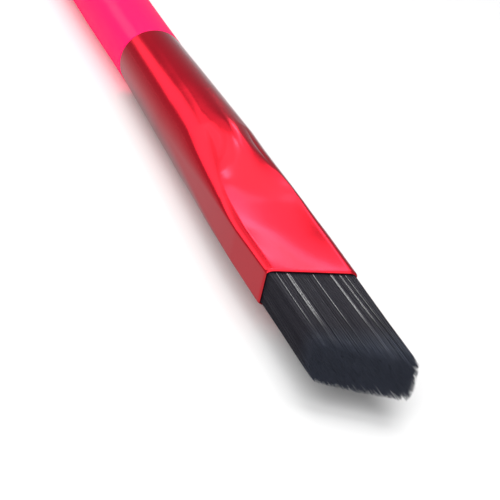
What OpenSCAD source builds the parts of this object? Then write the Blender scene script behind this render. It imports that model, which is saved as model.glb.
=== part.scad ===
// Angled brow brush: a lacquered wooden handle, a pressed metal ferrule, a resin plug and a slanted tuft.
// It lies with its axis along X, the tuft towards +X, and +Z is up from the surface that it rests on.

/* [Handle] */
// Length of the handle behind the ferrule
handle_len = 102; // [95:1:130]
// Diameter of the handle's shoulder beside the ferrule
neck_d = 8; // [8:0.1:8.6]
// Length over which the handle swells from its shoulder to the grip
neck_len = 24; // [15:1:30]
// Diameter of the handle along its straight grip
handle_d = 8.4; // [8.2:0.1:9.4]
// Distance from the shoulder to where the straight grip ends
grip_end = 62; // [50:1:80]
// Diameter of the rounded tail
tail_d = 5.2; // [4:0.2:7]
// Radius of the shoulder's edge beside the ferrule
shoulder_r = 0.25; // [0.05:0.05:0.4]
// Length of the tenon that is glued into the ferrule
tenon_len = 13; // [8:1:14]
// Chamfer on the tenon's nose
tenon_chamfer = 0.6; // [0.2:0.1:1]
// Glue gap between the tenon and the ferrule's wall
tenon_gap = 0.05; // [0.04:0.01:0.15]

/* [Ferrule] */
// Outer diameter of the ferrule's round end
ferrule_d = 7.9; // [7:0.1:8]
// Outer diameter to which the tube widens before it is pressed flat
swell_d = 8.4; // [7.9:0.1:8.8]
// Length of the ferrule from the handle's shoulder to its mouth
ferrule_len = 53.5; // [51:0.5:60]
// Thickness of the sheet metal
wall = 0.2; // [0.15:0.05:0.35]
// Distance from the shoulder to where the round tube starts to flatten
press_start = 18; // [15:0.5:20]
// Distance from the shoulder to where the tube reaches its flat section
press_end = 46; // [42:0.5:49]
// Distance from the shoulder to where the flat's crease reaches the side
crease_end = 37.5; // [32:0.5:40]
// Width of the ferrule where the flat section starts
flat_w = 9.1; // [8.6:0.1:9.8]
// Thickness of the ferrule where the flat section starts
flat_t = 3.45; // [3.3:0.05:4.2]
// Width of the ferrule's mouth
mouth_w = 8.6; // [8.2:0.1:10]
// Thickness of the ferrule's mouth
mouth_t = 3.5; // [3.3:0.1:3.9]
// Height of the rounding between the side wall and the flat
edge_h = 0.7; // [0.5:0.05:0.9]
// Width of the rounding between the side wall and the flat
edge_w = 0.9; // [0.6:0.05:1.1]
// Depth to which the two flats are dished
dish = 0.08; // [0:0.02:0.12]
// Length over which the mouth's rim turns inwards
rim_len = 0.4; // [0.2:0.1:0.8]
// Depth to which the mouth's rim turns inwards
rim_turn = 0.06; // [0.02:0.02:0.1]

/* [Resin plug] */
// Length of the resin plug along the brush
plug_len = 9; // [8:0.5:10]
// Distance from the mouth's rim back to the resin
plug_depth = 7; // [6:0.5:8]
// Depth to which the filaments' roots sink into the resin
root_grip = 6; // [4:0.5:7]
// Gap between the resin and the ferrule's wall
plug_gap = 0.05; // [0.04:0.01:0.1]
// Gap between the resin and the outermost filaments
root_gap = 0.04; // [0.03:0.01:0.1]

/* [Tuft] */
// Reach of the tuft beyond the mouth on its short side
tuft_short = 11.4; // [8:0.1:12.5]
// Reach of the tuft beyond the mouth on its long side
tuft_long = 14.5; // [12:0.1:17]
// Width of the tuft at its tips
tip_w = 8.4; // [7:0.1:8.8]
// Thickness of the tuft at its tips
tip_t = 3.3; // [2.4:0.1:3.6]
// Rounding of the tuft's corners at its tips
tip_r = 1.1; // [0.6:0.1:1.2]
// Width of the bundle of roots in the resin
root_w = 7; // [6:0.1:7.2]
// Thickness of the bundle of roots in the resin
root_t = 2.3; // [1.8:0.1:2.4]
// Rounding of the bundle of roots
root_r = 0.8; // [0.5:0.1:0.9]
// Gap between the filaments and the mouth's wall
mouth_gap = 0.04; // [0.03:0.01:0.1]
// Fall of the tips towards the two flat faces
dome = 0.6; // [0:0.05:1]
// Fall of the tips at the short side's corner
short_fall = 1.2; // [0:0.1:2.5]
// Fall of the tips at the long side's corner
long_fall = 0.9; // [0:0.1:2]
// Width of those two corners
corner_w = 1.3; // [0.6:0.1:2]
// Depth of the grooves between neighbouring locks of filaments
groove = 0.07; // [0.02:0.01:0.1]
// Unevenness of the filaments' tips
ragged = 0.35; // [0:0.05:0.6]

/* [Hidden] */

handle_colour = [1, 0.24, 0.47];
ferrule_colour = [0.96, 0.2, 0.29];
resin_colour = [0.85, 0.78, 0.6];
tuft_colour = [0.16, 0.16, 0.2];

turned = 96;
arc_steps = 8;
neck_steps = 8;
taper_steps = 14;
press_steps = 16;
flat_steps = 4;
tip_steps = 6;
cut_steps = 7;

// Steps in a quarter of the metal's section, along the side wall, round the edge and along the flat
side_points = 3;
edge_points = 6;
flat_points = 7;
// Steps in a quarter of the tuft's section, each one a ridge or a groove
lock_points = 36;

ferrule_r = ferrule_d / 2;
swell_r = swell_d / 2;
neck_r = neck_d / 2;
handle_r = handle_d / 2;
tenon_r = ferrule_r - wall - tenon_gap;
mouth_x = ferrule_len;
plug_front = mouth_x - plug_depth;
root_x = plug_front - root_grip;

function mix(a, b, k) = a + (b - a) * k;
function smooth(t) = let (u = min(max(t, 0), 1)) u * u * (3 - 2 * u);
function noise(i) = let (v = sin(i * 127.1 + 31.7) * 437.58) v - floor(v);
function steps(a, b, n) = [for (i = [0:n]) mix(a, b, i / n)];

// A section is [half width, half height, edge width, edge height, dish of the flats].
function pressed(x) = let (
    tube = mix(ferrule_r, swell_r, min(x / press_start, 1)),
    k = smooth((x - press_start) / (press_end - press_start)),
    c = smooth((x - press_start) / (crease_end - press_start)),
    m = max(x - press_end, 0) / (mouth_x - press_end),
    turn = rim_turn * pow(max(x - mouth_x + rim_len, 0) / rim_len, 2)
) [
    mix(tube, flat_w / 2, k) + m * (mouth_w - flat_w) / 2 - turn,
    mix(tube, flat_t / 2, k) + m * (mouth_t - flat_t) / 2 - turn,
    mix(tube, edge_w, c),
    mix(tube, edge_h, k),
    dish * c
];
function inset(s, d) = [s[0] - d, s[1] - d, max(s[2] - d, 0.05), max(s[3] - d, 0.05), s[4]];
function blend(s, t, k) = [for (i = [0:4]) mix(s[i], t[i], k)];

// Shares of the quarter perimeter where the side wall ends and where the flat starts
function shares(s) = let (
    side = s[1] - s[3],
    arc = 90 * PI / 180 * sqrt((s[2] * s[2] + s[3] * s[3]) / 2),
    flat = s[0] - s[2]
) [side / (side + arc + flat), (side + arc) / (side + arc + flat)];

// Shares of the quarter perimeter at which the metal's points lie. Those of the round tube follow the
// mouth, and where the press has formed an edge, they follow that edge.
function metal_shares(s, formed) = let (
    round = shares(pressed(mouth_x)),
    own = shares(s),
    side = mix(round[0], own[0], formed),
    edge = mix(round[1], own[1], formed)
) concat(
    [for (i = [0:side_points - 1]) side * i / side_points],
    [for (i = [0:edge_points - 1]) mix(side, edge, i / edge_points)],
    steps(edge, 1, flat_points)
);
tuft_shares = steps(0, 1, lock_points);

// A point of the quarter section at a share of its perimeter
function quarter_point(s, share) = let (
    own = shares(s),
    flat = max(s[0] - s[2], 0)
)
    share < own[0] ? [s[0], (s[1] - s[3]) * share / own[0]]
    : share < own[1] ? let (a = 90 * (share - own[0]) / (own[1] - own[0]))
        [s[0] - s[2] + s[2] * cos(a), s[1] - s[3] + s[3] * sin(a)]
    : let (y = flat * (1 - share) / max(1 - own[1], 0.0001))
        [y, s[1] - s[4] * (1 - pow(y / max(flat, 0.0001), 2))];

// A closed ring of points round a section, counted from the +Y side upwards
function ring(x, s, list) = let (q = len(list) - 1)
    [for (turn = [0:3], i = [0:q - 1]) let (
        p = quarter_point(s, list[turn % 2 == 0 ? i : q - i])
    ) [x, (turn == 0 || turn == 3 ? 1 : -1) * p[0], (turn < 2 ? 1 : -1) * p[1]]];

function metal_ring(x, depth) = let (
    s = inset(pressed(x), depth),
    formed = smooth(2 * (x - press_start) / (press_end - press_start))
) ring(x, s, metal_shares(s, formed));

// Faces between the rings of a skin, in the order of the rings
function side_faces(rings, n, closed = false) = [
    for (j = [0:rings - (closed ? 1 : 2)], i = [0:n - 1]) let (
        a = j * n + i,
        b = (j + 1) % rings * n + i,
        c = (j + 1) % rings * n + (i + 1) % n,
        d = j * n + (i + 1) % n
    ) each [[a, b, c], [a, c, d]]
];

// Faces that close the first ring and the last one, each round a point at its middle
function fan_faces(first, middle, n, to_tip) = [
    for (i = [0:n - 1]) let (p = first + i, q = first + (i + 1) % n)
        to_tip ? [middle, q, p] : [middle, p, q]
];
function middle(ring) = [for (axis = [0:2]) sum([for (p = ring) p[axis]]) / len(ring)];
function sum(v) = v * [for (i = v) 1];
function flatten(lists) = [for (l = lists) each l];

// Stations of the ferrule along the brush, from the shoulder to the mouth
stations = concat(
    [0],
    steps(press_start, press_end, press_steps),
    [for (x = steps(press_end, mouth_x - rim_len, flat_steps)) if (x > press_end) x],
    [mouth_x - rim_len / 2, mouth_x]
);

// A solid round a run of rings, closed at both ends
module skin(rings) {
    n = len(rings[0]);
    last = len(rings) - 1;
    size = (last + 1) * n;
    polyhedron(
        points = concat(flatten(rings), [middle(rings[0]), middle(rings[last])]),
        faces = concat(
            side_faces(last + 1, n),
            fan_faces(0, size, n, false),
            fan_faces(last * n, size + 1, n, true)
        ),
        convexity = 8
    );
}

// A solid whose rings run out along its outside and back along its inside
module hoop(rings) {
    polyhedron(
        points = flatten(rings),
        faces = side_faces(len(rings), len(rings[0]), true),
        convexity = 8
    );
}

// The handle's outline as [radius, place along the axis], from the tenon's nose to the tail
handle_outline = concat(
    [
        [0, tenon_len],
        [tenon_r - tenon_chamfer, tenon_len],
        [tenon_r, tenon_len - tenon_chamfer],
        [tenon_r, 0]
    ],
    [for (a = steps(0, 90, arc_steps))
        [neck_r - shoulder_r + shoulder_r * sin(a), -shoulder_r + shoulder_r * cos(a)]],
    [for (k = steps(0, 1, neck_steps)) if (k > 0)
        [mix(neck_r, handle_r, smooth(k)), mix(-shoulder_r, -neck_len, k)]],
    [for (k = steps(0, 1, taper_steps))
        [mix(handle_r, tail_d / 2, smooth(k)), mix(-grip_end, -handle_len + tail_d / 2, k)]],
    [for (a = steps(0, 90, arc_steps)) if (a > 0)
        [a < 90 ? tail_d / 2 * cos(a) : 0, -handle_len + tail_d / 2 - tail_d / 2 * sin(a)]]
);

module handle() {
    color(handle_colour)
        rotate([0, 90, 0])
            rotate_extrude($fn = turned)
                polygon(handle_outline);
}

module ferrule() {
    last = len(stations) - 1;
    color(ferrule_colour)
        hoop(concat(
            [for (x = stations) metal_ring(x, 0)],
            [for (i = [last:-1:0]) metal_ring(stations[i], wall)]
        ));
}

root_section = [root_w / 2, root_t / 2, root_r, root_r, 0];
mouth_section = inset(pressed(mouth_x), wall + mouth_gap);
tip_section = [tip_w / 2, tip_t / 2, tip_r, tip_r, 0];

module resin_plug() {
    xs = steps(plug_front - plug_len, plug_front, ceil(plug_len));
    pocket = inset(root_section, -root_gap);
    color(resin_colour)
        skin(concat(
            [for (x = xs) metal_ring(x, wall + plug_gap)],
            [for (x = [plug_front, root_x - root_gap]) ring(x, pocket, metal_shares(pocket, 1))]
        ));
}

// Reach of a filament's tip beyond the mouth, from its place across the tuft
function reach(y, z) = let (
    a = tip_w / 2,
    inner = a - corner_w,
    edge = pow(max(abs(y) - inner, 0) / corner_w, 2)
) mix(tuft_short, tuft_long, (y / a + 1) / 2)
    - dome * pow(2 * z / tip_t, 2)
    - edge * (y < 0 ? short_fall : long_fall);

function tuft_ring(x, s) = let (
    high = ring(x, s, tuft_shares),
    low = ring(x, inset(s, groove), tuft_shares)
) [for (i = [0:len(high) - 1]) i % 2 == 0 ? high[i] : low[i]];
function tip_ring(k) = let (
    flat = tuft_ring(0, blend(mouth_section, tip_section, k)),
    tips = tuft_ring(0, tip_section)
) [for (i = [0:len(flat) - 1]) [
    mouth_x + k * reach(tips[i][1], tips[i][2]) - pow(k, 4) * ragged * noise(i),
    flat[i][1],
    flat[i][2]
]];

// Rings of tips over the cut face, from its rim inwards
function cut_ring(k) = [for (i = [0:len(tip_rim) - 1]) let (
    y = tip_rim[i][1] * (1 - k),
    z = tip_rim[i][2] * (1 - k)
) [mouth_x + reach(y, z) - ragged * noise(i + 1000 * k), y, z]];

tip_rim = ring(0, tip_section, tuft_shares);
tuft_rings = concat(
    [for (x = [root_x, plug_front]) tuft_ring(x, root_section)],
    [tuft_ring(mouth_x - 2 * rim_len, mouth_section)],
    [for (k = steps(0, 1, tip_steps)) tip_ring(k)],
    [for (k = steps(1 / cut_steps, 1 - 1 / cut_steps, cut_steps - 2)) cut_ring(k)]
);

module bristle_tuft() {
    color(tuft_colour) skin(tuft_rings);
}

// The brush is centred on its length and lies on its widest rounds.
tip_x = max([for (r = tuft_rings, p = r) p[0]]);
rest = [(handle_len - tip_x) / 2, 0, max(handle_r, swell_r)];

translate(rest) handle();
translate(rest) ferrule();
translate(rest) resin_plug();
translate(rest) bristle_tuft();
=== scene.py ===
"""Angled brow brush: the looks of its lacquered handle, red ferrule and slanted tuft, on a white floor."""
import math
from collections import namedtuple

import bpy
import numpy as np
from bpy.props import FloatProperty, FloatVectorProperty, IntProperty, PointerProperty
from bpy.types import Operator, Panel, PropertyGroup
from mathutils import Matrix, Vector


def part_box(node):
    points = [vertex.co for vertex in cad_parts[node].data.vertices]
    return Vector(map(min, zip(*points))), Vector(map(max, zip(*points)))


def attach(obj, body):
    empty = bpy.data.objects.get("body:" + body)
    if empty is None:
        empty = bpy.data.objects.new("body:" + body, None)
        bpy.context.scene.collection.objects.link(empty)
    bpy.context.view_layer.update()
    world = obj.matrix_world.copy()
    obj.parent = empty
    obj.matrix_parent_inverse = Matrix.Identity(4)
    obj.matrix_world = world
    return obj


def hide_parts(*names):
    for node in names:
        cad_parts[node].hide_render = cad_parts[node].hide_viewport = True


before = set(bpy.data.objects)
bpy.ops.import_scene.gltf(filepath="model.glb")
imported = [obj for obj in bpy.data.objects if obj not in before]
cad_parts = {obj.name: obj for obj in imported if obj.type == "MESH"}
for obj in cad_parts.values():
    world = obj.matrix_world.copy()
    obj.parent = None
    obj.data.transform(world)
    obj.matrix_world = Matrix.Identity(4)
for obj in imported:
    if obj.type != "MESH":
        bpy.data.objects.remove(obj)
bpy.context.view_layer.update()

bl_info = {
    "name": "Angled brow brush",
    "version": (1, 0, 0),
    "blender": (4, 5, 0),
    "location": "View3D > Sidebar > Brow brush",
    "description": "Builds the looks of an angled brow brush round its fixed solids",
    "category": "Object",
}

JOINT_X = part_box("ferrule")[0].x
MOUTH_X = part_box("ferrule")[1].x
FERRULE_LENGTH = MOUTH_X - JOINT_X
AXIS_Z = sum(corner.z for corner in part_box("handle")) / 2
MM = 0.001
WHITE = (1.0, 1.0, 1.0, 1.0)

# The ferrule's mesh: steps along a quarter of its section, and steps from ring to ring along its length.
SIDE_STEPS, EDGE_STEPS, FLAT_STEPS = 8, 18, 22
STRAIGHT_STEPS, PRESSED_STEPS, RIM_STEPS, LIP_STEPS = 8, 110, 4, 6
# The inside repeats every second ring of the outside, and leaves out the last few by the rim.
INSIDE_STRIDE, INSIDE_END = 2, 5
LEAST_EDGE = 0.05 * MM
# An edge stays sharp where its two faces turn by more than this.
SHARP_ANGLE = math.radians(40)
# How deep a finish's grain is at most.
GRAIN_DEPTH = 0.02 * MM
# The lacquer gets thicker where the upward share of the surface's direction is below this.
SIDE_START = 0.6

# Shares of a spacing: from one row of touching filaments to the next, and how far each is off its place.
ROW_STEP, PLACE_JITTER = 0.866, 0.12
# Filaments whose middles lie within this share of a spacing of the top face are the top layer.
TOP_LAYER = 0.8
# The streaks of glossy filaments: place across the mouth and half width, in millimetres.
STREAKS = (
    (-3.4, 0.09), (-2.95, 0.03), (-2.35, 0.14), (-0.05, 0.05),
    (0.85, 0.03), (1.65, 0.13), (2.5, 0.07), (3.0, 0.05),
)
# The filaments lean together in locks, each lock's tips end up to a step short, and all bend a little.
LOCKS = 110
LOCK_STEP = 0.03 * MM
BEND = 0.02 * MM
# A few stray filaments bend further.
STRAY_SHARE, STRAY_BEND = 0.012, 4
# By the long side the unevenness grows by up to this many times, and the bends by this power of that.
OUTER_GAIN, OUTER_BEND = 6, 0.6
# The bends stay this close to the tuft's own width and thickness.
SIDE_ROOM = 0.02 * MM
# Where a filament has points: shares of its hidden length below 0, and of its free length above 0.
STATIONS = (-1.0, -0.12, 0.03, 0.18, 0.36, 0.55, 0.73, 0.89, 1.0)
# The bundle of roots widens to the mouth's section over this share of the hidden length.
ROOT_SPREAD = 0.88
# A filament tapers from this share of its free length to this share of its thickness.
TAPER_START, TIP_SHARE = 0.8, 0.4
FILAMENT_SIDES = 3
# Each filament is turned about itself by this many radians against the one before it.
FILAMENT_TURN = 0.7
# The halvings that find how far out a filament lies, and the largest answer that they allow.
GAUGE_HALVINGS, GAUGE_MOST = 26, 4.0
# The filaments pale between these shares of the short side, partly by the frayed tips' own colour and partly
# as painted light that lifts the shade among the tips.
PALE_TIP_START, PALE_TIP_END = 0.7, 1.05
# The gloss starts to fade at this share of its reach.
GLOSS_FADE = 0.6

# The lamps and the windows point at the place where the ferrule starts to flatten.
AIM = Vector((0.04, 0.0, AXIS_Z))
LAMP_SIZE = 0.45
TOP_LAMP = Vector((-0.035, 0.043, 0.497))
FRONT_LAMP = Vector((0.325, -0.239, 0.339))
WINDOW_DISTANCE = 0.35
# Name, azimuth, elevation, width and height in degrees from the aim, and share of the group's brightness.
WINDOWS = (
    ("window_right", 148.2, 38, 13.4, 36, 1.0),
    ("window_above", 169.3, 47.5, 14.4, 13, 1.0),
    ("window_low", 168.7, 34.5, 18, 13, 0.36),
    ("window_over", 186, 40.5, 9, 27, 0.85),
    ("window_left", -159, 30, 16, 38, 1.0),
)
GLINTS = (
    ("window_crease", 158, 45, 6, 5, 1.0),
    ("window_strip", 148.3, 29.5, 2.6, 21, 0.4),
    ("window_mouth", 150.5, 22.1, 3.6, 3.4, 1.0),
)

# The camera that was fitted to the photograph.
CAMERA_PLACE = (0.156584, -0.045240, 0.053289)
CAMERA_RIGHT = (0.310364, 0.927095, 0.210165)
CAMERA_DOWN = (0.481417, 0.037350, -0.875696)
CAMERA_FORWARD = (-0.819702, 0.372961, -0.434727)
CAMERA_LENS = 92.087
CAMERA_SENSOR = 36.0
CAMERA_CLIP = (0.005, 20.0)


def size(name, description, default, high=1000):
    """A length that the panel shows, given in millimetres."""
    return FloatProperty(
        name=name, description=description, default=default * MM,
        min=0.0, max=high * MM, precision=5, unit="LENGTH", subtype="DISTANCE",
    )


def colour(name, description, default):
    """A colour that the panel shows, in linear values."""
    return FloatVectorProperty(
        name=name, description=description, default=default,
        min=0.0, max=1.0, size=3, subtype="COLOR",
    )


def amount(name, description, default, high=1.0):
    """A plain number that the panel shows."""
    return FloatProperty(name=name, description=description, default=default, min=0.0, max=high)


class HandleLook(PropertyGroup):
    """The lacquer on the turned handle."""
    lacquer: colour("Lacquer", "Colour of the handle's lacquer", (0.98, 0.008, 0.125))
    # Painted light: the lacquer glows with its own light, standing in for the brightness of fluorescent pink,
    # so the handle shows brighter than the lamps make it.
    glow: amount("Glow", "How much of its own light the fluorescent lacquer gives", 0.2)
    roughness: amount("Roughness", "Roughness of the lacquer under its clear coat", 0.35)
    coat: amount("Coat", "Strength of the clear coat", 0.12)
    coat_roughness: amount("Coat roughness", "Roughness of the clear coat", 0.2)


class ResinLook(PropertyGroup):
    """The set resin that holds the filaments' roots."""
    resin: colour("Resin", "Colour of the set resin", (0.66, 0.55, 0.30))
    roughness: amount("Roughness", "Roughness of the set resin", 0.45)


class FerruleSizes(PropertyGroup):
    """The sizes and the finish of the pressed metal tube."""
    tube: size("Tube diameter", "Outer diameter of the round end", 7.9)
    swell: size("Swell diameter", "Outer diameter where the press starts", 8.4)
    wall: size("Wall", "Thickness of the sheet metal", 0.2)
    press_start: size("Press start", "Distance from the shoulder to where the tube starts to flatten", 18)
    press_end: size("Press end", "Distance from the shoulder to where the section is flat", 46)
    jaw_width: size("Jaw mark", "Width of the flat that the jaw's edge left on the tube", 4.3)
    crease_start: size("Crease start", "Distance from the shoulder to where the crease turns outwards", 29.5)
    crease_end: size("Crease end", "Distance from the shoulder to where the crease reaches the side", 38.5)
    flat_width: size("Flat width", "Width where the flat section starts", 9.1)
    flat_height: size("Flat thickness", "Thickness where the flat section starts", 3.45)
    mouth_width: size("Mouth width", "Width of the mouth", 8.6)
    mouth_height: size("Mouth thickness", "Thickness of the mouth", 3.5)
    edge_width: size("Edge width", "Width of the rounding beside the flat", 0.9)
    edge_height: size("Edge height", "Height of the rounding beside the flat", 0.45)
    mouth_edge: size("Mouth edge", "How much smaller that rounding is at the mouth", 0.1)
    dish: size("Dish", "Depth of the hollow that the press leaves in the two flats", 0.25)
    crown_start: size("Crown start", "Distance from the shoulder to where the round top starts to sink", 25)
    crown_end: size("Crown end", "Distance from the shoulder to where the round top is pressed flat", 41)
    rim_length: size("Rim length", "Length over which the rim turns inwards", 0.4)
    rim_turn: size("Rim turn", "Depth to which the rim turns inwards", 0.06)
    lip: size("Lip", "Thickness of the sheet at its trimmed edge", 0.12)
    metal: colour("Metal", "Colour of the anodised metal", (0.4, 0.0095, 0.018))
    grazing: colour("Grazing", "Colour of the metal seen along its surface", (0.5, 0.47, 0.49))
    roughness: amount("Roughness", "Roughness of the metal", 0.16)
    coat: amount("Coat", "Strength of the clear lacquer where the metal faces up", 0.04)
    side_coat: amount("Side coat", "Strength of the clear lacquer on the metal's sides", 0.36)
    coat_roughness: amount("Coat roughness", "Roughness of the clear lacquer", 0.15)


class TuftSizes(PropertyGroup):
    """The sizes and the finish of the bundle of filaments."""
    short: size("Short side", "Reach beyond the mouth on the short side", 11.4)
    long: size("Long side", "Reach beyond the mouth on the long side", 14.5)
    width: size("Width", "Width of the tuft at its tips", 8.25)
    height: size("Thickness", "Thickness of the tuft at its tips", 3.3)
    corner: size("Corner", "Rounding of the tuft's corners", 1.1)
    root_width: size("Root width", "Width of the bundle of roots", 7)
    root_height: size("Root thickness", "Thickness of the bundle of roots", 2.3)
    depth: size("Depth", "Distance from the rim back to the resin", 7)
    dome: size("Dome", "Fall of the tips towards the two flat faces", 0.3)
    under: size("Under", "How much further the lowest tips reach", 0.45)
    short_fall: size("Short corner", "Fall of the tips at the short side's corner", 0.35)
    long_fall: size("Long corner", "Fall of the tips at the long side's corner", 1.1)
    corner_width: size("Corner width", "Width of those two corners", 1.3)
    ragged: size("Raggedness", "Unevenness of the tips", 0.16)
    thickness: size("Filament", "Diameter of one filament", 0.075)
    spacing: size("Spacing", "Distance from one filament to the next", 0.081)
    lock_pull: amount("Lock pull", "How far the filaments of a lock lean together at their tips", 0.06)
    gloss_reach: size("Gloss reach", "Distance from the mouth at which the glossy filaments turn matte", 9)
    fibre: colour("Filaments", "Colour of the filaments", (0.015, 0.0135, 0.021))
    # Partly painted light: the tips' colour is paler than the filaments' to lift the shade that falls among
    # the tips, besides the frayed tips' own paler colour.
    frayed: colour("Frayed tips", "Colour of the filaments' frayed tips", (0.043, 0.049, 0.070))
    roughness: amount("Roughness", "Roughness of the filaments", 0.575)
    seed: IntProperty(name="Seed", description="Number that fixes the filaments' places", default=7, min=0)


class StageLook(PropertyGroup):
    """The floor, the lamps and the background."""
    floor_size: size("Floor size", "Side of the square floor", 1600, 5000)
    floor_colour: colour("Floor", "Colour of the floor", (0.9, 0.9, 0.9))
    lift: amount("Lift", "How much whiter the floor is shown than the lamps make it", 0.075)
    fade_start: size("Fade start", "Distance at which the floor starts to fade to white", 140)
    fade_end: size("Fade end", "Distance at which the floor is shown white", 400)
    daylight: amount("Daylight", "Strength of the even light from all round", 0.1, 3.0)
    top: amount("Top lamp", "Power of the large lamp above, in watts", 1.8, 20.0)
    front: amount("Front lamp", "Power of the large lamp in front and to the left, in watts", 2.4, 20.0)
    window: amount("Windows", "Brightness of the windows that the metal mirrors, where white is 1", 3.1, 20.0)
    glint: amount("Glint", "Brightness of the small windows that give the pale glints", 14.0, 50.0)


def smooth(t):
    """Eases from 0 to 1 with no jump in slope at either end."""
    u = min(max(t, 0.0), 1.0)
    return u * u * (3 - 2 * u)


def mix(a, b, k):
    """The value a share k of the way from a to b."""
    return a + (b - a) * k


def add_node(tree, kind, feeds, **settings):
    """Adds a shader node with its settings. Each feed is a plain value or another node's output."""
    node = tree.nodes.new("ShaderNode" + kind)
    for setting, value in settings.items():
        setattr(node, setting, value)
    for socket, feed in feeds.items():
        if isinstance(feed, bpy.types.NodeSocket):
            tree.links.new(feed, node.inputs[socket])
        else:
            node.inputs[socket].default_value = feed
    return node


def new_group(name, inputs, outputs):
    """A node group whose sockets are plain numbers, with its input and output nodes."""
    group = bpy.data.node_groups.new(name, "ShaderNodeTree")
    for way, sockets in (("INPUT", inputs), ("OUTPUT", outputs)):
        for socket in sockets:
            group.interface.new_socket(name=socket, in_out=way, socket_type="NodeSocketFloat")
    return group, group.nodes.new("NodeGroupInput"), group.nodes.new("NodeGroupOutput")


def soft_unevenness():
    """A node group that varies a roughness and a height over a surface, as hands and polishing leave it."""
    group, given, put = new_group(
        "soft_unevenness", ("Size", "Stretch", "Smoothest", "Roughest"), ("Roughness", "Height"),
    )
    place = add_node(group, "TexCoord", {})
    stretch = add_node(group, "CombineXYZ", {"X": given.outputs["Stretch"], "Y": 1.0, "Z": 1.0})
    scaled = add_node(group, "VectorMath", {
        0: place.outputs["Object"], 1: stretch.outputs["Vector"],
    }, operation="MULTIPLY")
    noise = add_node(group, "TexNoise", {
        "Vector": scaled.outputs["Vector"], "Scale": given.outputs["Size"], "Detail": 3.0,
    })
    ramp = add_node(group, "MapRange", {
        "Value": noise.outputs["Fac"], "From Min": 0.3, "From Max": 0.7,
        "To Min": given.outputs["Smoothest"], "To Max": given.outputs["Roughest"],
    })
    group.links.new(ramp.outputs["Result"], put.inputs["Roughness"])
    group.links.new(noise.outputs["Fac"], put.inputs["Height"])
    return group


def towards_side():
    """A node group that runs from one value where a surface faces up or down to another on its sides."""
    group, given, put = new_group("towards_side", ("Up", "Side"), ("Value",))
    place = add_node(group, "TexCoord", {})
    facing = add_node(group, "SeparateXYZ", {"Vector": place.outputs["Normal"]})
    steep = add_node(group, "Math", {0: facing.outputs["Z"]}, operation="ABSOLUTE")
    ramp = add_node(group, "MapRange", {
        "Value": steep.outputs["Value"], "From Min": SIDE_START, "From Max": 0.0,
        "To Min": given.outputs["Up"], "To Max": given.outputs["Side"],
    }, interpolation_type="SMOOTHSTEP")
    group.links.new(ramp.outputs["Result"], put.inputs["Value"])
    return group


def along_tuft():
    """A node group that runs from 0 at one distance beyond the mouth to 1 at another."""
    group, given, put = new_group("along_tuft", ("Start", "End"), ("Share",))
    place = add_node(group, "TexCoord", {})
    split = add_node(group, "SeparateXYZ", {"Vector": place.outputs["Object"]})
    beyond = add_node(group, "Math", {0: split.outputs["X"], 1: MOUTH_X}, operation="SUBTRACT")
    ramp = add_node(group, "MapRange", {
        "Value": beyond.outputs["Value"],
        "From Min": given.outputs["Start"], "From Max": given.outputs["End"],
    }, interpolation_type="SMOOTHSTEP")
    group.links.new(ramp.outputs["Result"], put.inputs["Share"])
    return group


def add_effect(material, effect, **values):
    """Places a node group in a material with the material's own values. The first to need it builds it."""
    group = bpy.data.node_groups.get(effect.__name__) or effect()
    return add_node(material.node_tree, "Group", values, node_tree=group)


def plain_material(name, base, **values):
    """A material of one colour, with its node tree and its shader."""
    material = bpy.data.materials.new(name)
    material.use_nodes = True
    shader = material.node_tree.nodes["Principled BSDF"]
    shader.inputs["Base Color"].default_value = (*base, 1.0)
    for socket, value in values.items():
        shader.inputs[socket.replace("_", " ")].default_value = value
    return material, material.node_tree, shader


def finish_of(name, base, grain, stretch, roughness, spread, bump=0.0, **values):
    """A material of one colour. Its roughness varies by a spread either way over a stretched grain."""
    material, tree, shader = plain_material(name, base, **values)
    effect = add_effect(
        material, soft_unevenness, Size=grain, Stretch=stretch,
        Smoothest=roughness - spread, Roughest=roughness + spread,
    )
    tree.links.new(effect.outputs["Roughness"], shader.inputs["Roughness"])
    if bump:
        height = add_node(tree, "Bump", {
            "Strength": bump, "Distance": GRAIN_DEPTH, "Height": effect.outputs["Height"],
        })
        tree.links.new(height.outputs["Normal"], shader.inputs["Normal"])
    return material


def dress(node, material):
    """Gives a solid of the frame its finish."""
    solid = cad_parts[node]
    for place in range(max(1, len(solid.material_slots))):
        if place < len(solid.material_slots):
            solid.material_slots[place].link = "DATA"
            solid.data.materials[place] = material
        else:
            solid.data.materials.append(material)


class BROW_BRUSH_OT_handle(Operator):
    """Lacquers the turned handle in glossy pink"""
    bl_idname = "brow_brush.handle"
    bl_label = "Lacquer the handle"

    def execute(self, context):
        look = context.scene.brow_handle
        dress("handle", finish_of(
            "handle_lacquer", look.lacquer, grain=90.0, stretch=0.5, roughness=look.roughness, spread=0.05,
            Coat_Weight=look.coat, Coat_Roughness=look.coat_roughness, Specular_IOR_Level=0.0,
            # Painted light: the handle glows in its lacquer's colour by its own emission, though it is no
            # lamp.
            Emission_Color=(*look.lacquer, 1.0), Emission_Strength=look.glow,
        ))
        return {"FINISHED"}


class BROW_BRUSH_OT_resin(Operator):
    """Gives the hidden resin plug its yellowish set resin"""
    bl_idname = "brow_brush.resin"
    bl_label = "Set the resin"

    def execute(self, context):
        look = context.scene.brow_resin
        dress("resin_plug", finish_of(
            "resin", look.resin, grain=300.0, stretch=1.0, roughness=look.roughness, spread=0.1,
        ))
        return {"FINISHED"}


# A cross section of the ferrule: flat is half of the flat's width, and edge the height of the rounding.
Section = namedtuple("Section", "half_width half_height flat edge dish")


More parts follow.
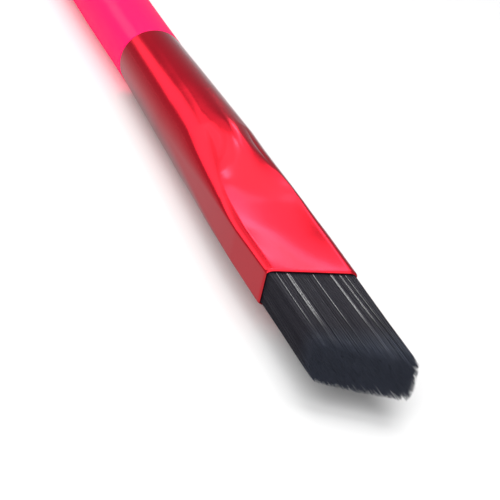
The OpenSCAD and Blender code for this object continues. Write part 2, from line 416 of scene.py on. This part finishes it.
def section_at(sizes, x):
    """The ferrule's section at x from the shoulder."""
    tube = mix(sizes.tube, sizes.swell, min(x / sizes.press_start, 1)) / 2
    pressed = smooth((x - sizes.press_start) / (sizes.press_end - sizes.press_start))
    creased = smooth((x - sizes.crease_start) / (sizes.crease_end - sizes.crease_start))
    out = max(x - sizes.press_end, 0) / (FERRULE_LENGTH - sizes.press_end)
    turn = sizes.rim_turn * (max(x - FERRULE_LENGTH + sizes.rim_length, 0) / sizes.rim_length) ** 2
    widened = out * (sizes.mouth_width - sizes.flat_width) / 2
    thickened = out * (sizes.mouth_height - sizes.flat_height) / 2
    half_width = mix(tube, sizes.flat_width / 2, pressed) + widened - turn
    half_height = mix(tube, sizes.flat_height / 2, pressed) + thickened - turn
    plane_cut = math.sqrt(max(tube * tube - half_height * half_height, 0))
    free_flat = mix(sizes.jaw_width / 2, half_width - sizes.edge_width + sizes.mouth_edge * out, creased)
    crown = (tube - half_height) * smooth((sizes.crown_end - x) / (sizes.crown_end - sizes.crown_start))
    return Section(
        half_width=half_width,
        half_height=half_height,
        flat=min(plane_cut, free_flat),
        edge=mix(tube, sizes.edge_height - sizes.mouth_edge * out, pressed),
        dish=sizes.dish * creased * (1 - out * out) - crown,
    )


def inset(section, depth):
    """A section drawn in by a depth."""
    return section._replace(
        half_width=section.half_width - depth,
        half_height=section.half_height - depth,
        edge=max(section.edge - depth, LEAST_EDGE),
    )


def arc_of(section):
    """Angle and two radii of the arc from the side wall to the crease, which is round where it can be."""
    width = section.half_width - section.flat
    angle = min(2 * math.atan(width / section.edge), math.pi / 2)
    return angle, width / (1 - math.cos(angle)), section.edge / math.sin(angle)


def shares_of(section):
    """Shares of the quarter perimeter where the side wall ends and where the flat starts."""
    angle, wide, high = arc_of(section)
    side = section.half_height - section.edge
    arc = angle * math.sqrt((wide * wide + high * high) / 2)
    whole = side + arc + section.flat
    return side / whole, (side + arc) / whole


def quarter_point(section, at):
    """A point of the quarter section at a share of its perimeter."""
    side, edge = shares_of(section)
    wall = section.half_height - section.edge
    if at < side:
        return section.half_width, wall * at / side
    if at < edge:
        angle, wide, high = arc_of(section)
        turned = angle * (at - side) / (edge - side)
        return section.half_width - wide + wide * math.cos(turned), wall + high * math.sin(turned)
    y = section.flat * (1 - at) / max(1 - edge, 1e-6)
    return y, section.half_height - section.dish * (1 - (y / max(section.flat, 1e-7)) ** 2)


def metal_shares(sizes, section, formed):
    """Where the metal's points lie: as at the mouth on the round tube, and by the edge where it is formed."""
    round_side, round_edge = shares_of(section_at(sizes, FERRULE_LENGTH))
    own_side, own_edge = shares_of(section)
    side, edge = mix(round_side, own_side, formed), mix(round_edge, own_edge, formed)
    return (
        [side * i / SIDE_STEPS for i in range(SIDE_STEPS)]
        + [mix(side, edge, i / EDGE_STEPS) for i in range(EDGE_STEPS)]
        + [mix(edge, 1, i / FLAT_STEPS) for i in range(FLAT_STEPS + 1)]
    )


def ring(x, section, places):
    """A closed ring round a section at x from the shoulder, counted from the +Y side upwards."""
    quarter = [quarter_point(section, at) for at in places]
    last = len(quarter) - 1
    points = []
    for turn in range(4):
        for i in range(last):
            y, z = quarter[i if turn % 2 == 0 else last - i]
            points.append((
                JOINT_X + x,
                y if turn in (0, 3) else -y,
                AXIS_Z + (z if turn < 2 else -z),
            ))
    return points


def metal_ring(sizes, x, depth, at=None):
    """A ring of the ferrule's metal, a depth below its outside. Its section may be read at another place."""
    place = x if at is None else at
    section = inset(section_at(sizes, place), depth)
    formed = smooth(2 * (place - sizes.press_start) / (sizes.press_end - sizes.press_start))
    return ring(x, section, metal_shares(sizes, section, formed))


def outside_places(sizes):
    """Distances from the shoulder of the rings along the outside, up to the trimmed edge."""
    rim_start = FERRULE_LENGTH - sizes.rim_length
    straight = [sizes.press_start * i / STRAIGHT_STEPS for i in range(1, STRAIGHT_STEPS)]
    pressed = [mix(sizes.press_start, rim_start, i / PRESSED_STEPS) for i in range(PRESSED_STEPS + 1)]
    turned = [FERRULE_LENGTH - sizes.rim_length * (1 - i / RIM_STEPS) for i in range(1, RIM_STEPS)]
    return [0.0] + straight + pressed + turned


def metal_rings(sizes):
    """The rings of the shell, out along its outside, round its trimmed edge and back along its inside."""
    outside = outside_places(sizes)
    radius, bevel = sizes.lip / 2, sizes.lip / 4
    rings = [metal_ring(sizes, 0.0, bevel)]
    rings += [metal_ring(sizes, max(x, bevel), 0.0) for x in outside]
    for i in range(LIP_STEPS + 1):
        angle = math.pi * i / LIP_STEPS
        place = FERRULE_LENGTH - radius + radius * math.sin(angle)
        rings.append(metal_ring(sizes, place, radius - radius * math.cos(angle), FERRULE_LENGTH))
    rings += [metal_ring(sizes, x, sizes.wall) for x in reversed(outside[:-INSIDE_END:INSIDE_STRIDE])]
    return rings


def piece_from(name, points, faces, material):
    """A mesh object from points and faces, shaded smooth apart from its sharp edges."""
    mesh = bpy.data.meshes.new(name)
    mesh.from_pydata(points, [], faces)
    mesh.validate()
    mesh.shade_smooth()
    mesh.set_sharp_from_angle(angle=SHARP_ANGLE)
    mesh.materials.append(material)
    piece = bpy.data.objects.new(name, mesh)
    bpy.context.scene.collection.objects.link(piece)
    return piece


def hoop(name, rings, material):
    """A tube whose rings run out along its outside and back along its inside."""
    n = len(rings[0])
    points = [p for r in rings for p in r]
    faces = []
    for j in range(len(rings)):
        a, b = j * n, (j + 1) % len(rings) * n
        for i in range(n):
            k = (i + 1) % n
            faces.append((a + i, a + k, b + k, b + i))
    return piece_from(name, points, faces, material)


def anodised_metal(sizes):
    """The red metal under a clear lacquer that is thicker on the sides, where it gathers."""
    metal = finish_of(
        "ferrule_metal", sizes.metal, grain=240.0, stretch=0.5, roughness=sizes.roughness, spread=0.03,
        bump=1.0, Metallic=1.0, Coat_Roughness=sizes.coat_roughness, Specular_Tint=(*sizes.grazing, 1.0),
    )
    lacquer = add_effect(metal, towards_side, Up=sizes.coat, Side=sizes.side_coat)
    tree = metal.node_tree
    tree.links.new(lacquer.outputs["Value"], tree.nodes["Principled BSDF"].inputs["Coat Weight"])
    return metal


class BROW_BRUSH_OT_ferrule(Operator):
    """Presses the red metal ferrule from a round tube to its flat mouth"""
    bl_idname = "brow_brush.ferrule"
    bl_label = "Press the ferrule"

    def execute(self, context):
        sizes = context.scene.brow_ferrule
        metal = anodised_metal(sizes)
        dress("ferrule", metal)
        piece = hoop("ferrule_shell", metal_rings(sizes), metal)
        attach(piece, "root")
        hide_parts("ferrule")
        return {"FINISHED"}


def gauge(places, a, b, corner):
    """How far out places lie, as a share of the rounded rectangle's reach in the same direction."""
    low, high = np.zeros(len(places)), np.full(len(places), GAUGE_MOST)
    for _ in range(GAUGE_HALVINGS):
        middle = (low + high) / 2
        scaled = places / np.maximum(middle, 1e-6)[:, None]
        over = np.maximum(np.abs(scaled) - [a - corner, b - corner], 0)
        outside = np.hypot(over[:, 0], over[:, 1]) > corner
        low, high = np.where(outside, middle, low), np.where(outside, high, middle)
    return high


def places_in(a, b, corner, spacing, rng):
    """Places of the filaments over the mouth's section, close together and a little uneven."""
    rows = int(2 * b / (spacing * ROW_STEP)) + 2
    columns = int(2 * a / spacing) + 2
    found = []
    for j in range(rows + 1):
        for i in range(columns + 1):
            found.append((-a + (i + 0.5 * (j % 2)) * spacing, -b + j * spacing * ROW_STEP))
    places = np.array(found) + rng.normal(0, spacing * PLACE_JITTER, (len(found), 2))
    beyond = np.maximum(np.abs(places) - np.array([a - corner, b - corner]), 0)
    return places[np.hypot(beyond[:, 0], beyond[:, 1]) < corner]


def opening_of(sizes, ferrule):
    """Half width, half height and corner of the opening that the middles of the filaments fill."""
    return (
        ferrule.mouth_width / 2 - ferrule.lip - ferrule.rim_turn - sizes.thickness / 2,
        ferrule.mouth_height / 2 - ferrule.lip - ferrule.rim_turn - sizes.thickness / 2,
        ferrule.edge_height - ferrule.mouth_edge - ferrule.lip,
    )


def in_streaks(mouth, top_edge):
    """Which filaments lie above an edge and within one of the glossy streaks."""
    shiny = np.zeros(len(mouth), bool)
    for place, half_width in STREAKS:
        shiny |= np.abs(mouth[:, 0] - place * MM) < half_width * MM
    return shiny & (mouth[:, 1] > top_edge)


def tip_places(sizes, mouth, opening):
    """Places of the tips across the tuft, spread out from the places in the mouth."""
    mouth_a, mouth_b, _ = opening
    a, b = sizes.width / 2, sizes.height / 2
    ends = np.column_stack([mouth[:, 0] * a / mouth_a, mouth[:, 1] * b / mouth_b])
    pull = gauge(mouth, *opening) / gauge(ends, a, b, sizes.corner)
    return ends * pull[:, None]


def reach_of(sizes, ends):
    """Reach of the tips beyond the mouth, from their places across the tuft."""
    y, z = ends.T
    a = sizes.width / 2
    edge = (np.maximum(np.abs(y) - (a - sizes.corner_width), 0) / sizes.corner_width) ** 2
    slant = sizes.short + (sizes.long - sizes.short) * (y / a + 1) / 2
    lower = sizes.under * np.clip(-2 * z / sizes.height, 0, 1) - sizes.dome * (2 * z / sizes.height) ** 2
    return slant + lower - edge * np.where(y < 0, sizes.short_fall, sizes.long_fall)


def unevenness_of(sizes, ends, rng):
    """How far each tip bends aside, and how far it ends short of its reach."""
    a, b, count = sizes.width / 2, sizes.height / 2, len(ends)
    locks = np.column_stack([rng.uniform(-a, a, LOCKS), rng.uniform(-b, b, LOCKS)])
    nearest = np.argmin(((ends[:, None] - locks[None]) ** 2).sum(-1), 1)
    lean = (locks[nearest] - ends) * sizes.lock_pull
    lock_bend = rng.normal(0, BEND, (LOCKS, 2))[nearest]
    own_bend = rng.normal(0, BEND, (count, 2))
    own_bend[rng.random(count) < STRAY_SHARE] *= STRAY_BEND
    outer = 1 + OUTER_GAIN * np.clip(2 * ends[:, 0] / a - 1, 0, 1)
    own_bend *= outer[:, None] ** OUTER_BEND
    short_by = rng.random(count) ** 2 * sizes.ragged * outer + (rng.random(LOCKS) * LOCK_STEP)[nearest]
    return lean + lock_bend + own_bend, short_by


def paths_of(sizes, mouth, ends, opening, bend, reach):
    """The points along every filament, and its radius at each."""
    spread = np.array([sizes.root_width / 2 / opening[0], sizes.root_height / 2 / opening[1]])
    paths = np.zeros((len(mouth), len(STATIONS), 3))
    radii = np.zeros((len(mouth), len(STATIONS)))
    for j, step in enumerate(STATIONS):
        if step < 0:
            paths[:, j, 0] = step * sizes.depth
            paths[:, j, 1:] = mouth * mix(spread, 1, min((1 + step) / ROOT_SPREAD, 1))
        else:
            paths[:, j, 0] = step * reach
            paths[:, j, 1] = mix(mouth[:, 0], ends[:, 0], step)
            paths[:, j, 2] = mix(mouth[:, 1], ends[:, 1], smooth(step))
            paths[:, j, 1:] += bend * step ** 2
        taper = mix(1.0, TIP_SHARE, max(step - TAPER_START, 0) / (1 - TAPER_START))
        radii[:, j] = sizes.thickness / 2 * taper
    limit = np.array([sizes.width / 2, sizes.height / 2]) + SIDE_ROOM
    paths[..., 1:] = np.clip(paths[..., 1:], -limit, limit)
    return paths + [MOUTH_X, 0, AXIS_Z], radii


def bundle(name, paths, radii, materials, glossy):
    """One mesh of thin closed filaments. Each has a path of points and a radius at each."""
    count, stations = radii.shape
    sides = FILAMENT_SIDES
    angles = 2 * np.pi * (np.arange(sides) + 0.5) / sides
    spin = (np.arange(count) * FILAMENT_TURN)[:, None, None] + angles
    points = np.repeat(paths[:, :, None, :], sides, 2)
    points[..., 1] += radii[..., None] * np.cos(spin)
    points[..., 2] += radii[..., None] * np.sin(spin)
    index = np.arange(count * stations * sides).reshape(count, stations, sides)
    a, b = index[:, :-1], index[:, 1:]
    quads = np.stack([a, np.roll(a, -1, 2), np.roll(b, -1, 2), b], -1).reshape(-1, 4)
    caps = np.concatenate([index[:, 0, ::-1], index[:, -1]])
    corners = np.concatenate([quads.ravel(), caps.ravel()])
    loops = np.concatenate([np.full(len(quads), 4), np.full(len(caps), sides)])
    starts = np.concatenate([[0], np.cumsum(loops)[:-1]])
    finishes = np.concatenate([np.repeat(glossy, (stations - 1) * sides), glossy, glossy])
    mesh = bpy.data.meshes.new(name)
    mesh.vertices.add(points.size // 3)
    mesh.vertices.foreach_set("co", points.ravel())
    mesh.loops.add(len(corners))
    mesh.loops.foreach_set("vertex_index", corners.astype(np.int32))
    mesh.polygons.add(len(loops))
    mesh.polygons.foreach_set("loop_start", starts.astype(np.int32))
    mesh.polygons.foreach_set("loop_total", loops.astype(np.int32))
    for material in materials:
        mesh.materials.append(material)
    mesh.polygons.foreach_set("material_index", finishes.astype(np.int32))
    mesh.update(calc_edges=True)
    mesh.validate()
    mesh.shade_smooth()
    piece = bpy.data.objects.new(name, mesh)
    bpy.context.scene.collection.objects.link(piece)
    return piece


def share_along(material, start, end):
    """The output of the tuft's group in a material, between two distances beyond the mouth."""
    return add_effect(material, along_tuft, Start=start, End=end).outputs["Share"]


def filament_finish(name, sizes, **values):
    """Black filaments that pale towards their tips: partly the frayed tips' own colour, partly painted light
    that lifts the shade among them.
    """
    material = finish_of(
        name, sizes.fibre, grain=900.0, stretch=0.05, roughness=sizes.roughness, spread=0.075, **values,
    )
    tree = material.node_tree
    # Paler towards the tips: partly the frayed tips' colour, partly painted light against the shade among
    # them.
    tint = add_node(tree, "Mix", {
        "Factor": share_along(material, sizes.short * PALE_TIP_START, sizes.short * PALE_TIP_END),
        "A": (*sizes.fibre, 1.0), "B": (*sizes.frayed, 1.0),
    }, data_type="RGBA")
    tree.links.new(tint.outputs["Result"], tree.nodes["Principled BSDF"].inputs["Base Color"])
    return material


def wet_roots(material, sizes):
    """Lets a clear coat fade from the mouth outwards, as the binder that crept along the filaments does."""
    tree = material.node_tree
    coat = share_along(material, sizes.gloss_reach, sizes.gloss_reach * GLOSS_FADE)
    tree.links.new(coat, tree.nodes["Principled BSDF"].inputs["Coat Weight"])


class BROW_BRUSH_OT_tuft(Operator):
    """Lays the straight black filaments of the tuft, cut at a slant"""
    bl_idname = "brow_brush.tuft"
    bl_label = "Lay the tuft"

    def execute(self, context):
        sizes = context.scene.brow_tuft
        rng = np.random.default_rng(sizes.seed)
        opening = opening_of(sizes, context.scene.brow_ferrule)
        top = opening[1]
        mouth = places_in(*opening, sizes.spacing, rng)
        shiny = in_streaks(mouth, top - TOP_LAYER * sizes.spacing)
        mouth[shiny, 1] = top
        ends = tip_places(sizes, mouth, opening)
        bend, short_by = unevenness_of(sizes, ends, rng)
        bend[shiny] = 0
        paths, radii = paths_of(sizes, mouth, ends, opening, bend, reach_of(sizes, ends) - short_by)

        plain = filament_finish("filaments", sizes, Specular_IOR_Level=0.15)
        glossy = filament_finish(
            "filaments_glossy", sizes, Specular_IOR_Level=0.3, Coat_Roughness=0.17, Coat_IOR=1.95,
        )
        wet_roots(glossy, sizes)
        dress("bristle_tuft", plain)
        upper = ends[:, 1] >= 0
        for name, half in (("tuft_upper", upper), ("tuft_lower", ~upper)):
            piece = bundle(name, paths[half], radii[half], [plain, glossy], shiny[half])
            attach(piece, "root")
            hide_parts("bristle_tuft")
        return {"FINISHED"}


def lamp(name, place, width, height, watts):
    """A soft rectangular lamp that points at the brush."""
    data = bpy.data.lights.new(name, "AREA")
    data.shape = "RECTANGLE"
    data.size, data.size_y = width, height
    data.energy = watts
    made = bpy.data.objects.new(name, data)
    bpy.context.scene.collection.objects.link(made)
    made.location = place
    made.rotation_mode = "QUATERNION"
    made.rotation_quaternion = (AIM - place).to_track_quat("-Z", "Y")
    made.visible_camera = False
    return made


def window(name, azimuth, elevation, wide, high, brightness):
    """A soft window that fills a stretch of the room, in degrees, as seen from the brush."""
    turn, rise = math.radians(azimuth), math.radians(elevation)
    way = Vector((math.cos(turn) * math.cos(rise), math.sin(turn) * math.cos(rise), math.sin(rise)))
    width, height = (2 * WINDOW_DISTANCE * math.tan(math.radians(angle) / 2) for angle in (wide, high))
    watts = brightness * math.pi * width * height
    made = lamp(name, AIM + way * WINDOW_DISTANCE, width, height, watts)
    made.visible_diffuse = False


def set_camera():
    """The photograph's viewing angle."""
    data = bpy.data.cameras.new("camera")
    data.lens = CAMERA_LENS
    data.sensor_width = CAMERA_SENSOR
    data.clip_start, data.clip_end = CAMERA_CLIP
    camera = bpy.data.objects.new("camera", data)
    bpy.context.scene.collection.objects.link(camera)
    right, down, forward = (Vector(v) for v in (CAMERA_RIGHT, CAMERA_DOWN, CAMERA_FORWARD))
    turn = Matrix((right, -down, -forward)).transposed().to_4x4()
    camera.matrix_world = Matrix.Translation(CAMERA_PLACE) @ turn
    bpy.context.scene.camera = camera


def shown_ray(tree):
    """An output that is 1 for rays from the camera or from something shiny or clear, and 0 for others."""
    path = add_node(tree, "LightPath", {})
    shown = path.outputs["Is Camera Ray"]
    for sent_on in ("Is Glossy Ray", "Is Transmission Ray"):
        either = add_node(tree, "Math", {0: shown, 1: path.outputs[sent_on]}, operation="MAXIMUM")
        shown = either.outputs["Value"]
    return shown


def set_floor(look):
    """A plain white floor that keeps the brush's shadow, and is shown white where the lamps fall off."""
    material, tree, shader = plain_material(
        "floor_white", look.floor_colour, Roughness=0.9, Specular_IOR_Level=0.1, Emission_Color=WHITE,
    )
    place = add_node(tree, "TexCoord", {})
    away = add_node(tree, "VectorMath", {0: place.outputs["Object"]}, operation="LENGTH")
    white = add_node(tree, "MapRange", {
        "Value": away.outputs["Value"], "From Min": look.fade_start, "From Max": look.fade_end,
        "To Min": look.lift, "To Max": look.lift + 1,
    }, interpolation_type="SMOOTHSTEP")
    shown = add_node(tree, "Math", {0: shown_ray(tree), 1: white.outputs["Result"]}, operation="MULTIPLY")
    tree.links.new(shown.outputs["Value"], shader.inputs["Emission Strength"])
    half = look.floor_size / 2
    corners = [(-half, -half, 0), (half, -half, 0), (half, half, 0), (-half, half, 0)]
    floor = piece_from("floor", corners, [(0, 1, 2, 3)], material)


def set_world(look):
    """An even daylight, white where the camera or the metal sees it."""
    world = bpy.data.worlds.new("daylight")
    bpy.context.scene.world = world
    world.use_nodes = True
    tree = world.node_tree
    tree.nodes.clear()
    strength = add_node(tree, "MapRange", {"Value": shown_ray(tree), "To Min": look.daylight, "To Max": 1.0})
    sky = add_node(tree, "Background", {"Color": WHITE, "Strength": strength.outputs["Result"]})
    add_node(tree, "OutputWorld", {"Surface": sky.outputs["Background"]})


class BROW_BRUSH_OT_stage(Operator):
    """Sets the white floor, the soft lamps and the camera"""
    bl_idname = "brow_brush.stage"
    bl_label = "Set the stage"

    def execute(self, context):
        look = context.scene.brow_stage
        set_floor(look)
        set_world(look)
        lamp("top_lamp", TOP_LAMP, LAMP_SIZE, LAMP_SIZE, look.top)
        lamp("front_lamp", FRONT_LAMP, LAMP_SIZE, LAMP_SIZE, look.front)
        for windows, brightness in ((WINDOWS, look.window), (GLINTS, look.glint)):
            for name, azimuth, elevation, wide, high, part in windows:
                window(name, azimuth, elevation, wide, high, brightness * part)
        set_camera()
        context.scene.view_settings.view_transform = "Standard"
        return {"FINISHED"}


PARTS = (
    ("brow_handle", HandleLook, BROW_BRUSH_OT_handle),
    ("brow_resin", ResinLook, BROW_BRUSH_OT_resin),
    ("brow_ferrule", FerruleSizes, BROW_BRUSH_OT_ferrule),
    ("brow_tuft", TuftSizes, BROW_BRUSH_OT_tuft),
    ("brow_stage", StageLook, BROW_BRUSH_OT_stage),
)


class BROW_BRUSH_PT_panel(Panel):
    """Lists the brush's pieces and their sizes"""
    bl_label = "Angled brow brush"
    bl_space_type = "VIEW_3D"
    bl_region_type = "UI"
    bl_category = "Brow brush"

    def draw(self, context):
        for name, group, operator in PARTS:
            box = self.layout.box()
            box.operator(operator.bl_idname)
            for size_name in group.__annotations__:
                box.prop(getattr(context.scene, name), size_name)


def register():
    """Registers the classes and hangs the sizes on the scene."""
    for name, group, operator in PARTS:
        bpy.utils.register_class(group)
        bpy.utils.register_class(operator)
        setattr(bpy.types.Scene, name, PointerProperty(type=group))
    bpy.utils.register_class(BROW_BRUSH_PT_panel)


def unregister():
    """Takes the sizes off the scene and unregisters the classes."""
    bpy.utils.unregister_class(BROW_BRUSH_PT_panel)
    for name, group, operator in reversed(PARTS):
        delattr(bpy.types.Scene, name)
        bpy.utils.unregister_class(operator)
        bpy.utils.unregister_class(group)


def main():
    """Builds every piece and the stage."""
    register()
    bpy.ops.brow_brush.handle()
    bpy.ops.brow_brush.resin()
    bpy.ops.brow_brush.ferrule()
    bpy.ops.brow_brush.tuft()
    bpy.ops.brow_brush.stage()


if __name__ == "__main__":
    main()
